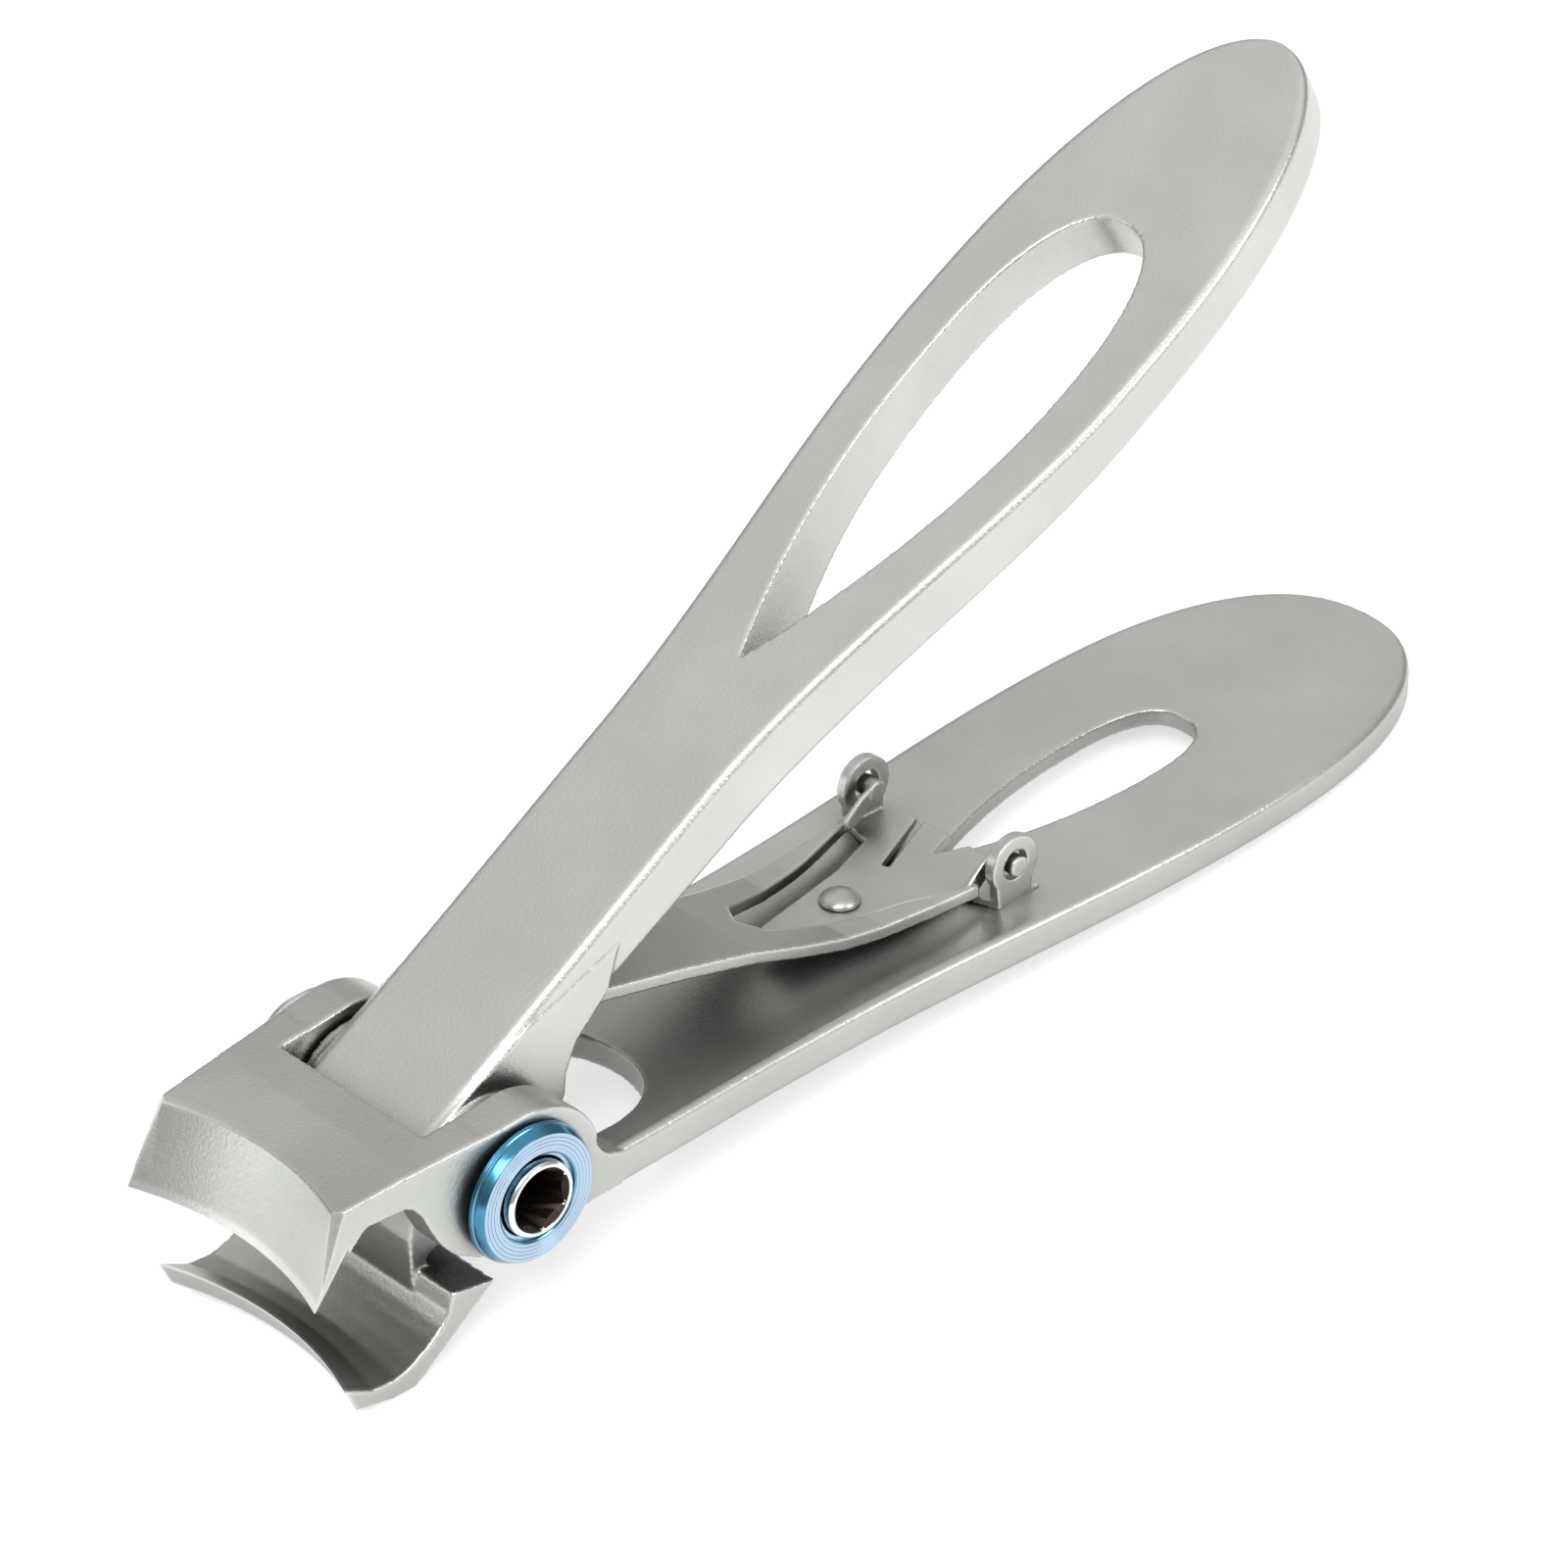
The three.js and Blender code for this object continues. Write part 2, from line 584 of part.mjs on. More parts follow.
const group = new THREE.Group();
group.add(clipper);
group.updateMatrixWorld(true);
const box = new THREE.Box3().setFromObject(group, true);
clipper.position.set(-(box.min.x + box.max.x) / 2, -(box.min.y + box.max.y) / 2, -box.min.z);

export default group;
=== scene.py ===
"""The looks of a pliers-type nail clipper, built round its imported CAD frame.

Every piece is modelled in the clipper's design frame, in millimetres: the origin on the pivot axle,
+X towards the handles and +Y along the axle. place() then sets it in the row frame, in metres.
"""

import json
import math

import bmesh
import bpy
import numpy as np
from mathutils import Euler, Matrix, Vector

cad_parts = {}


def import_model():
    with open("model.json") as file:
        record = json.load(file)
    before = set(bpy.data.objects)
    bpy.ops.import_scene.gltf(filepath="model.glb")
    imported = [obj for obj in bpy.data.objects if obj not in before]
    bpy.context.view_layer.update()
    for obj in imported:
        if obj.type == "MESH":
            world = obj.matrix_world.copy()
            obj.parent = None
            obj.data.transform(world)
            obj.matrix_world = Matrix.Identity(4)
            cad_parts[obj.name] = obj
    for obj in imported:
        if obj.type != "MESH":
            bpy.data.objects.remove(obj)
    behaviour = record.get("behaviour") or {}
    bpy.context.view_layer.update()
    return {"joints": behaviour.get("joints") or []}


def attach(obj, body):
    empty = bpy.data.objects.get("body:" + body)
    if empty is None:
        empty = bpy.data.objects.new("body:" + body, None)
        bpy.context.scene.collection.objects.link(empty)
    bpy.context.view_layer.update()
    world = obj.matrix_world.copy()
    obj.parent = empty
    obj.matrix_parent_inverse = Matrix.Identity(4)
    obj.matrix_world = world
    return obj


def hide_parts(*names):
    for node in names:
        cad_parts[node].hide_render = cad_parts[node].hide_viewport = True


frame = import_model()

# ---------- the design frame ----------
MM = 0.001
STAND_PITCH = math.radians(6.85)
STAND_LEVEL = -8.95
LEVER_ANGLE = math.radians(30.1)
AXLE = Vector(next(j["pos_m"] for j in frame["joints"] if j["name"] == "lever_pivot"))
DESIGN = Matrix.Translation(AXLE) @ Matrix.Rotation(STAND_PITCH, 4, "Y") @ Matrix.Scale(MM, 4)
FAR = 40.0                     # well past every piece
LEVER_END = 90.0               # past the handles' tips

# ---------- sizes ----------
# They are the CAD's. The ears' tail, the bracket and the spring are a little smaller, to stay clear.
HANDLE = dict(start=4, widest=58, tip=78, power=2.4)
HANDLE_HALF = dict(front=8.9, waist=8.5, rear=10.55, waist_length=16, flare_from=24)
HANDLE_RIM = dict(front=-0.75, rise=3.05, power=1.7, start=5, length=73)
HANDLE_THICK = dict(front=2.5, rear=2.25, start=30, length=35)
TROUGH = dict(depth=1.25, bow=0.55, fade_from=33, fade_length=8, margin=0.5)
LEVER = dict(start=-2.2, widest=58, tip=80.4, power=2.15)
LEVER_HALF = dict(front=5.0, rear=8.5, start=23, length=33)
LEVER_TOP = dict(height=4.3, rise=0.3, start=8, length=20, bow=0.5, bow_length=52)
LEVER_BOTTOM = dict(front=1.0, rear=1.2, start=45, length=17)
LEVER_BELLY = dict(depth=1.2, centre=31, reach=15)
LOWER_TEAR = dict(tip=39.9, widest=55, end=61.4, half=3.02, power=2.6)
UPPER_TEAR = dict(tip=31, widest=54, end=65.6, half=4.95, power=2.3)
TEAR_POCKET = dict(tip=37, widest=55, end=63.6, half=5.2, power=2.6, sheet=1.2)
EAR = dict(x=0.45, z=-0.45, radius=5.15, inner=6.0, outer=8.9, floor=-3.3, tail=7.1)
HEAD_UNDERSIDE = 1.87
BLADE_HOLLOW = 22.0
BLADE_HALF = 8.1
AXLE_RADIUS = 2.3
BORE = AXLE_RADIUS + 0.12
KNUCKLE = dict(half=5.1, radius=5.3, pad_half=5.8, pad_radius=4.0)
SLOT = dict(front=-4.6, rear_centre=8.6)
COLLAR = dict(radius=4.2, face=3.85, rim=0.55, height=1.05, gap=0.1, recess=2.65, recess_depth=0.35)
NUT = dict(inner_end=7.5, chamfer=0.16, mouth=1.66, thread_from=-3.5, flats=3.3, socket_depth=3.0)
SCREW = dict(radius=1.2, start=-3.0, shoulder=7.8, flats=2.64, socket_depth=2.0)
PIVOT_END = EAR["outer"] + COLLAR["gap"] + COLLAR["height"] + 0.3
EYELET = dict(x=40.1, z=2.5, radius=1.85, hole=0.95, inner=5.85, thick=0.75, foot=1.3)
BRACKET = dict(thick=0.5, seat=-0.1, cross_from=38.8, cross_to=42.1)
SLIT = dict(x=36.9, y=1.0, length=5.9, width=0.5, turn=24.0)
RIVET = dict(x=32.2, radius=1.25, height=0.65)
LEAF = dict(thick=0.84, tip_x=8.3, tip_half=2.6, end=38.2, rear=5.55, rear_inner=4.85)
SPRING_PIN = dict(radius=0.65, proud=0.35)
FORK = dict(x=23.9, half=1.7, spread=0.19)
SKIN = 0.03                    # the fine skins stay this far inside the CAD faces
EDGE = 0.5                     # rounding of the handles' edges
VOXEL = dict(handle=0.11, spring=0.08, bracket=0.075)

# ---------- the view and the studio ----------
CAMERA = dict(azimuth=-43.45, elevation=31.0, aim=(35.2, 7.9, 3.7), distance=330.0, lens=127.7, sensor=36.0)
# Height of a direction, from 0 straight down to 1 straight up, and the studio's brightness there.
STUDIO_SHADES = [(0.5, 0.30), (0.66, 0.38), (0.76, 0.58), (0.90, 0.98), (1.0, 1.0)]


# ---------- small maths ----------
def smooth(t):
    u = np.clip(t, 0.0, 1.0)
    return u * u * (3 - 2 * u)


def mix(a, b, t):
    return a + (b - a) * t


def super_ellipse(u, power):
    return np.maximum(0.0, 1 - np.abs(u) ** power) ** (1 / power)


def arc(cx, cy, radius, start, end, steps):
    angles = np.radians(np.linspace(start, end, steps + 1))
    return [(cx + radius * math.cos(a), cy + radius * math.sin(a)) for a in angles]


# ---------- mesh tools ----------
def mesh_object(name, vertices, faces):
    mesh = bpy.data.meshes.new(name)
    mesh.from_pydata([tuple(map(float, v)) for v in vertices], [], faces)
    bm = bmesh.new()
    bm.from_mesh(mesh)
    bmesh.ops.recalc_face_normals(bm, faces=bm.faces)
    bm.to_mesh(mesh)
    bm.free()
    obj = bpy.data.objects.new(name, mesh)
    bpy.context.scene.collection.objects.link(obj)
    return obj


def loft(name, rings):
    """A closed skin over rings of points, all with the same number of points."""
    size = len(rings[0])
    points = [p for ring in rings for p in ring]
    faces = []
    for r in range(len(rings) - 1):
        for k in range(size):
            a, b = r * size + k, r * size + (k + 1) % size
            faces.append((a, b, b + size, a + size))
    faces.append(tuple(reversed(range(size))))
    faces.append(tuple(range((len(rings) - 1) * size, len(rings) * size)))
    return mesh_object(name, points, faces)


def along_y(name, outline, y0, y1):
    return loft(name, [[(x, y, z) for x, z in outline] for y in (y0, y1)])


def along_z(name, outline, z0, z1):
    return loft(name, [[(x, y, z) for x, y in outline] for z in (z0, z1)])


def disc_y(name, x, z, radius, y0, y1, steps=72):
    return along_y(name, arc(x, z, radius, 0, 360, steps)[:-1], y0, y1)


def applied(obj):
    """Bakes an object's modifiers into its mesh."""
    graph = bpy.context.evaluated_depsgraph_get()
    mesh = bpy.data.meshes.new_from_object(obj.evaluated_get(graph), depsgraph=graph)
    obj.modifiers.clear()
    old = obj.data
    obj.data = mesh
    bpy.data.meshes.remove(old)
    return obj


def combine(obj, other, operation):
    """A boolean of obj with other, which is used up."""
    step = obj.modifiers.new(operation, "BOOLEAN")
    step.operation = operation
    step.solver = "MANIFOLD"
    step.object = other
    applied(obj)
    bpy.data.objects.remove(other)
    return obj


def joined(obj, *others):
    for other in others:
        combine(obj, other, "UNION")
    return obj


def cut(obj, *others):
    for other in others:
        combine(obj, other, "DIFFERENCE")
    return obj


def soft_skin(obj, voxel, passes):
    """Even quads over the whole piece, with its edges rounded off a little, as on a tumbled forging.
    The piece is turned askew meanwhile, so that no edge runs almost along the grid in long steps."""
    askew = Euler((0.52, 0.38, 0.61)).to_matrix().to_4x4()
    obj.data.transform(askew)
    remesh = obj.modifiers.new("skin", "REMESH")
    remesh.mode = "VOXEL"
    remesh.voxel_size = voxel
    remesh.use_smooth_shade = True
    relax = obj.modifiers.new("relax", "SMOOTH")
    relax.factor = 0.5
    relax.iterations = passes
    applied(obj)
    obj.data.transform(askew.inverted())
    return obj


def shade_by_angle(obj, degrees=50):
    obj.data.shade_smooth()
    obj.data.set_sharp_from_angle(angle=math.radians(degrees))


def place(obj, body, slot, *nodes):
    """Sets a finished piece in the row frame, on its body, in place of its CAD nodes."""
    obj.name = nodes[0] + "_skin"
    obj.data.transform(DESIGN)
    obj.data.update()
    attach(obj, body)
    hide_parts(*nodes)
    return obj


# ---------- outlines of the two handles ----------
def tear_half(tear, x):
    front = 1 - (1 - (x - tear["tip"]) / (tear["widest"] - tear["tip"])) ** 2
    back = super_ellipse((x - tear["widest"]) / (tear["end"] - tear["widest"]), tear["power"])
    return tear["half"] * np.where(x < tear["widest"], front, back)


def mirrored(points):
    return [(x, -y) for x, y in reversed(points)]


def tear_outline(tear, steps=110):
    t = (1 - np.cos(np.linspace(0, math.pi, steps))) / 2
    xs = mix(tear["tip"], tear["end"], t)
    side = list(zip(xs, tear_half(tear, xs)))
    return side + mirrored(side[1:-1])


def tear_cutter(tear):
    return along_z("tear", tear_outline(tear), -FAR, FAR)


def stations(spec, spacing):
    straight = np.arange(spec["start"], spec["widest"], spacing)
    steps = int((spec["tip"] - spec["widest"]) / spacing * 1.6)
    turn = np.sin(np.linspace(0, math.pi / 2, steps + 1)[:-1])
    return np.concatenate([straight, mix(spec["widest"], spec["tip"], turn)])


def section(half, top, thick, hollow, belly, margin=0.0):
    """The Y-Z section of a handle, round from the middle of its top."""
    corner = min(EDGE, half * 0.45, thick * 0.45)
    flat = half - corner
    right = []
    for f in np.linspace(0, 1, 15):
        u = min(1.0, flat * f / max(0.1, half - margin))
        right.append((flat * f, top - hollow * (1 - u * u)))
    for angle in (72, 54, 36, 18, 0):
        a = math.radians(angle)
        right.append((flat + corner * math.cos(a), top - corner + corner * math.sin(a)))
    for angle in (0, -18, -36, -54, -72):
        a = math.radians(angle)
        right.append((flat + corner * math.cos(a), top - thick + corner + corner * math.sin(a)))
    for f in np.linspace(1, 0, 13):
        right.append((flat * f, top - thick - belly * (1 - f * f)))
    left = [(-y, z) for y, z in reversed(right[1:-1])]
    return right + left


# ---------- lower handle ----------
def lower_half(x):
    if x > HANDLE["widest"]:
        u = (x - HANDLE["widest"]) / (HANDLE["tip"] - HANDLE["widest"])
        return HANDLE_HALF["rear"] * float(super_ellipse(u, HANDLE["power"]))
    to_waist = smooth((x - HANDLE["start"]) / HANDLE_HALF["waist_length"])
    to_rear = smooth((x - HANDLE_HALF["flare_from"]) / (HANDLE["widest"] - HANDLE_HALF["flare_from"]))
    narrowed = mix(HANDLE_HALF["front"], HANDLE_HALF["waist"], to_waist)
    return float(mix(narrowed, HANDLE_HALF["rear"], to_rear))


def lower_rim(x):
    rim = HANDLE_RIM
    return rim["front"] + rim["rise"] * max(0.0, (x - rim["start"]) / rim["length"]) ** rim["power"]


def trough(x):
    return TROUGH["depth"] * float(1 - smooth((x - TROUGH["fade_from"]) / TROUGH["fade_length"]))


def ramped(spec, x):
    """A size that changes smoothly from its front value to its rear one."""
    return float(mix(spec["front"], spec["rear"], smooth((x - spec["start"]) / spec["length"])))


def handle_bar():
    rings = []
    for x in stations(HANDLE, 0.6):
        depth = trough(x)
        belly = TROUGH["bow"] / TROUGH["depth"] * depth
        thick = ramped(HANDLE_THICK, x) - 2 * SKIN
        outline = section(lower_half(x) - SKIN, lower_rim(x) - SKIN, thick, depth, belly, TROUGH["margin"])
        rings.append([(x, y, z) for y, z in outline])
    return loft("handle_bar", rings)


def ears():
    tail = EAR["tail"]
    top = lower_rim(tail) - 0.15
    outline = [
        (-7.6, HEAD_UNDERSIDE), (-7.6, 3.9), (-4.6, 4.15),
        *arc(EAR["x"], EAR["z"], EAR["radius"], 90, 16, 40),
        *arc(7, 0.95, 1.7, 185, 262, 14),
        (tail, top), (tail, top - 2.2), (5.5, -3.1), (3.2, EAR["floor"]), (-2.9, EAR["floor"]),
        (-4.6, -2.4), (-5.45, -1.4), (-6.1, -0.15), (-6.55, 0.9), (-7.1, 1.6),
    ]
    outer = EAR["outer"] - SKIN
    half = [(-8, 8.05), (-4.6, 8.4), (-1.6, 8.75), (0.8, outer), (12, outer)]
    blank = along_y("ears", outline, -outer, outer)
    combine(blank, along_z("plan", half + mirrored(half), -FAR, FAR), "INTERSECT")
    between = [(-8, -8), (2, -8), (2, HEAD_UNDERSIDE), (-8, HEAD_UNDERSIDE)]
    return cut(blank, along_y("between", between, -EAR["inner"], EAR["inner"]))


def hollow(y):
    return BLADE_HOLLOW - math.sqrt(BLADE_HOLLOW ** 2 - y * y)


def jaw(name, profile, steps=61):
    """One profile carried across Y: x, z, how far it follows the blade's hollow, half-width."""
    rings = []
    for v in np.linspace(-1, 1, steps):
        rings.append([(x - follow * hollow(v * half), v * half, z) for x, z, follow, half in profile])
    return loft(name, rings)


def grinder(name, profile, half=10.0):
    """A cutter across the whole jaw, all of it following the hollow of the blade."""
    return jaw(name, [(x, z, 1, half) for x, z in profile])


def head_blank():
    """The head, left blunt in front for the grinding."""
    w = BLADE_HALF
    return jaw("head", [
        (-2.6, 4.4, 0, 8.45), (-7.2, 3.97, 0, 8.1), (-10.3, 3.47, 1, 7.7), (-11.6, 3.2, 1, 7.7),
        (-13.6, -1.0, 1, w), (-14.1, -3.2, 1, w), (-12.0, -3.0, 1, w), (-10.6, 0.2, 1, 7.95),
        (-9.0, HEAD_UNDERSIDE, 0.8, 7.9), (-2.6, HEAD_UNDERSIDE, 0, 8.45),
    ])


def side_facet(side):
    """The narrow flat ground on each end of the blade, from its tip up to the ridge."""
    tip = Vector((-14.2, -8.1, -1.85))
    ridge = Vector((-11.95, -7.2, 3.35))
    back = Vector((-11.2, -8.12, 3.4))
    outward = (ridge - tip).cross(back - tip)
    box = along_z("facet", [(-6, -6), (6, -6), (6, 6), (-6, 6)], 0, 6)
    if outward.y > 0:
        outward.negate()
    box.data.transform(Matrix.Translation(tip) @ outward.to_track_quat("Z", "X").to_matrix().to_4x4())
    if side > 0:
        box.data.transform(Matrix.Scale(-1, 4, (0, 1, 0)))
        box.data.flip_normals()
    return box


def ground_blade(body):
    """The hollow front, its narrow second bevel and the relief below give the upper cutting edge."""
    front = [
        (-10.4, 3.8), (-10.8, 3.2), (-12.05, -0.75), (-12.62, -1.82), (-13.4, -3.28), (-13.4, -7),
        (-18, -7), (-18, 6), (-11.5, 6),
    ]
    relief = [(-14.6, -3.97), (-11.6, -0.62), (-10.0, 1.25), (-9.8, -6), (-14.6, -6)]
    return cut(body, grinder("front", front), grinder("relief", relief), side_facet(-1), side_facet(1))


def slot_cutter():
    front, inner = SLOT["front"], EAR["inner"]
    outline = [(front, -inner), *arc(SLOT["rear_centre"], 0, inner, -90, 90, 48), (front, inner)]
    return along_z("slot", outline, -FAR, FAR)


def tear_pocket():
    tip, end = TEAR_POCKET["tip"] - 1, TEAR_POCKET["end"] + 1
    roof = [(x, lower_rim(x) - TEAR_POCKET["sheet"]) for x in (end, LOWER_TEAR["widest"], tip)]
    under = [(tip, -FAR), (end, -FAR), *roof]
    return combine(tear_cutter(TEAR_POCKET), along_y("under", under, -FAR, FAR), "INTERSECT")


def stand_height(x):
    """The height of the table under the clipper, which slopes in the design frame."""
    return (STAND_LEVEL + x * math.sin(STAND_PITCH)) / math.cos(STAND_PITCH)


def below_stand():
    top = [(LEVER_END, stand_height(LEVER_END)), (-FAR, stand_height(-FAR))]
    return along_y("stand", [(-FAR, -FAR), (LEVER_END, -FAR), *top], -FAR, FAR)


def axle_bore():
    return disc_y("bore", 0, 0, BORE, -FAR, FAR)


def lower_handle():
    body = joined(handle_bar(), ears(), head_blank())
    cut(body, slot_cutter(), tear_cutter(LOWER_TEAR), tear_pocket())
    soft_skin(body, VOXEL["handle"], 10)
    cut(body, axle_bore(), below_stand())
    ground_blade(body)
    shade_by_angle(body)
    return place(body, "frame", "satin_steel", "lower_handle")


# ---------- upper lever ----------
def upper_half(s):
    if s > LEVER["widest"]:
        u = (s - LEVER["widest"]) / (LEVER["tip"] - LEVER["widest"])
        return LEVER_HALF["rear"] * float(super_ellipse(u, LEVER["power"]))
    return ramped(LEVER_HALF, s)


def lever_top(s):
    rise = LEVER_TOP["rise"] * float(smooth((s - LEVER_TOP["start"]) / LEVER_TOP["length"]))
    along = min(1.0, max(0.0, s / LEVER_TOP["bow_length"]))
    return LEVER_TOP["height"] + rise + LEVER_TOP["bow"] * math.sin(math.pi * along)


def lever_bar():
    rings = []
    for s in stations(LEVER, 0.6):
        top = lever_top(s)
        thick = top - ramped(LEVER_BOTTOM, s) - 2 * SKIN
        from_centre = abs(s - LEVER_BELLY["centre"]) / LEVER_BELLY["reach"]
        belly = LEVER_BELLY["depth"] * float(1 - smooth(from_centre))
        outline = section(upper_half(s) - SKIN, top - SKIN, thick, 0, belly)
        rings.append([(s, y, h) for y, h in outline])
    bar = cut(loft("lever_bar", rings), tear_cutter(UPPER_TEAR))
    bar.data.transform(Matrix.Rotation(-LEVER_ANGLE, 4, "Y"))
    return bar


def knuckle():
    outline = [
        (-3.75, 2.3), (-3.2, 3.0), (3.0, 6.5), (10.5, 9.4), (9.6, 6.6), (7.4, 4.6), (6.5, 2.8),
        (6.4, 1.6), (5.9, 0.2),
        *arc(0, 0, KNUCKLE["radius"], -18, -126, 40),
        (-3.9, -4.6), (-3.9, -6.8), (-5.0, -6.4), (-5.1, -3.0), (-4.4, 0.3),
    ]
    return joined(
        along_y("knuckle", outline, -KNUCKLE["half"], KNUCKLE["half"]),
        disc_y("pads", 0, 0, KNUCKLE["pad_radius"], -KNUCKLE["pad_half"], KNUCKLE["pad_half"]),
    )


def jaw_blank():
    """The moving jaw, left blunt in front for the grinding."""
    w = BLADE_HALF - SKIN
    return jaw("jaw", [
        (-1.53, -5.6, 0, w), (-4.6, -5.08, 0, w), (-4.93, -6.25, 0, w), (-5.5, -6.98, 0, w),
        (-6.2, -7.6, 0, w), (-7.2, -8.35, 0.2, w), (-8.0, -8.72, 0.5, w), (-9.2, -8.6, 0.8, w),
        (-12.1, -7.0, 1, w), (-12.6, -8.2, 1, w), (-10.9, -9.2, 1, w), (-8.3, -9.9, 0.5, w),
        (-7.4, -9.95, 0, w),
    ])


def ground_jaw(body):
    """The slanted front of the jaw gives the lower cutting edge."""
    return cut(body, grinder("front", [
        (-9.3, -11.0), (-10.4, -8.6), (-11.05, -7.2), (-11.8, -5.6), (-18, -5.8), (-18, -12), (-9.6, -12),
    ]))


def upper_lever():
    body = joined(lever_bar(), knuckle(), jaw_blank())
    soft_skin(body, VOXEL["handle"], 10)
    cut(body, axle_bore(), below_stand())
    ground_jaw(body)
    shade_by_angle(body)
    return place(body, "lever", "pale_steel", "upper_lever")


# ---------- turned pieces ----------
def turned(name, profile, side, steps=96):
    """A body turned on the axle from [radius, y] points, closed on itself or on the axis."""
    vertices, faces = [], []
    count = len(profile)
    for k in range(steps):
        a = 2 * math.pi * k / steps
        vertices += [(r * math.cos(a), side * y, r * math.sin(a)) for r, y in profile]
    for k in range(steps):
        a, b = k * count, ((k + 1) % steps) * count
        for p in range(count):
            q = (p + 1) % count
            faces.append((a + p, a + q, b + q, b + p))
    obj = mesh_object(name, vertices, faces)
    bm = bmesh.new()
    bm.from_mesh(obj.data)
    bmesh.ops.remove_doubles(bm, verts=bm.verts, dist=1e-5)
    bmesh.ops.dissolve_degenerate(bm, edges=bm.edges, dist=1e-6)
    bmesh.ops.recalc_face_normals(bm, faces=bm.faces)
    bm.to_mesh(obj.data)
    bm.free()
    return obj


def rounded(profile, radius, steps=4):
    """A closed profile with each corner turned into a small arc."""
    points = [np.array(p, float) for p in profile]
    out = []
    for k, p in enumerate(points):
        before, after = points[k - 1], points[(k + 1) % len(points)]
        a, b = before - p, after - p
        reach = min(radius, 0.45 * np.linalg.norm(a), 0.45 * np.linalg.norm(b))
        if p[0] < 1e-6:
            out.append(tuple(p))
            continue
        start, end = p + a / np.linalg.norm(a) * reach, p + b / np.linalg.norm(b) * reach
        for t in np.linspace(0, 1, steps + 1):
            out.append(tuple((1 - t) ** 2 * start + 2 * t * (1 - t) * p + t * t * end))
    return out


def collar(side, slot, node):
    """A flange with a turned side, a chamfer, a ringed face and a recess round the axle."""
    base = EAR["outer"] + COLLAR["gap"]
    radius, face, height = COLLAR["radius"], COLLAR["face"], COLLAR["height"]
    recess, recess_floor = COLLAR["recess"], height - COLLAR["recess_depth"]
    profile = [
        (BORE, 0), (radius - 0.15, 0), (radius, 0.12), (radius, 0.34), (radius - 0.1, 0.4),
        (radius - 0.1, COLLAR["rim"]), (face + 0.06, height - 0.08),
    ]
    for ring in range(4):
        r = mix(face, recess + 0.3, ring / 4)
        profile += [(r, height), (r - 0.2, height), (r - 0.23, height - 0.03)]
    profile += [(recess + 0.15, height), (recess, height - 0.1), (recess, recess_floor), (BORE, recess_floor)]
    obj = turned(node, rounded([(r, base + y) for r, y in profile], 0.04), side)
    obj.data.shade_smooth()
    return place(obj, "frame", slot, node)


def hexagon(across):
    return arc(0, 0, across / math.sqrt(3), 30, 390, 6)[:-1]


def nut():
    end = PIVOT_END
    profile = [
        (0, -NUT["inner_end"]), (AXLE_RADIUS, -NUT["inner_end"]),
        (AXLE_RADIUS, end - NUT["chamfer"]), (AXLE_RADIUS - 0.14, end),
        (NUT["mouth"] + 0.34, end), (NUT["mouth"], end - 0.34), (0, end - 0.34),
    ]
    obj = turned("nut", rounded(profile, 0.05), -1)
    cut(
        obj,
        along_y("socket", hexagon(NUT["flats"]), -end - 1, -end + NUT["socket_depth"]),
        disc_y("thread", 0, 0, SCREW["radius"] + 0.12, NUT["thread_from"], FAR),
    )
    shade_by_angle(obj)
    return place(obj, "frame", "polished_steel", "pivot_barrel_nut")


def screw():
    end = PIVOT_END
    profile = [
        (0, SCREW["start"]), (SCREW["radius"], SCREW["start"]), (SCREW["radius"], SCREW["shoulder"]),
        (AXLE_RADIUS, SCREW["shoulder"]), (AXLE_RADIUS, end - 0.3),
        (AXLE_RADIUS - 0.3, end), (0, end),
    ]
    obj = turned("screw", rounded(profile, 0.06), 1)
    cut(obj, along_y("socket", hexagon(SCREW["flats"]), end - SCREW["socket_depth"], FAR))
    shade_by_angle(obj)
    return place(obj, "frame", "polished_steel", "pivot_screw")


# ---------- return spring, bracket and rivet ----------
def spring_sheet():
    lower = [
        (8.3, 3.75), (9.2, 4.0), (11.6, 3.95), (17, 3.2), (21.9, 2.35), (25.5, 1.4),
        (28.5, 0.75), (31.2, 0.5), (35, 0.5), (38.4, 0.62),
    ]
    upper = [(x, z + LEAF["thick"]) for x, z in reversed(lower)]
    return along_y("sheet", lower + upper, -FAR, FAR)


def fork_inner(x):
    """Half the gap between the two arms of the fork."""
    return FORK["half"] + (x - FORK["x"]) * FORK["spread"]


def spring_plan():
    end = LEAF["end"]
    arm = [
        (30, 4.7), (end, LEAF["rear"]), (end, fork_inner(end) + 0.8), (33, fork_inner(33) + 0.15),
        (FORK["x"] + 1, FORK["half"]),
    ]
    near = [(x, -y) for x, y in arm]
    tip = arc(LEAF["tip_x"] + LEAF["tip_half"], 0, LEAF["tip_half"], 90, 270, 40)
    return [*tip, *near, (FORK["x"], 0), *reversed(arm)]


def return_spring():
    spring = combine(spring_sheet(), along_z("plan", spring_plan(), -FAR, FAR), "INTERSECT")
    rise = [(37.5, 0.65), (38.4, 0.75), (39.7, 1.95), (39.7, 2.95), (38.8, 2.5), (37.5, 1.4)]
    inner = LEAF["rear_inner"]
    reach = EYELET["inner"] + EYELET["thick"] + SPRING_PIN["proud"]
    for side in (-1, 1):
        upturn = sorted((side * (inner + 0.05), side * (inner + 0.4)))
        pin = sorted((side * inner, side * reach))
        joined(
            spring,
            along_y("rise", rise, *upturn),
            disc_y("pin", EYELET["x"], EYELET["z"], SPRING_PIN["radius"], *pin),
        )
    soft_skin(spring, VOXEL["spring"], 5)
    shade_by_angle(spring)
    return place(spring, "spring", "spring_steel", "return_spring")


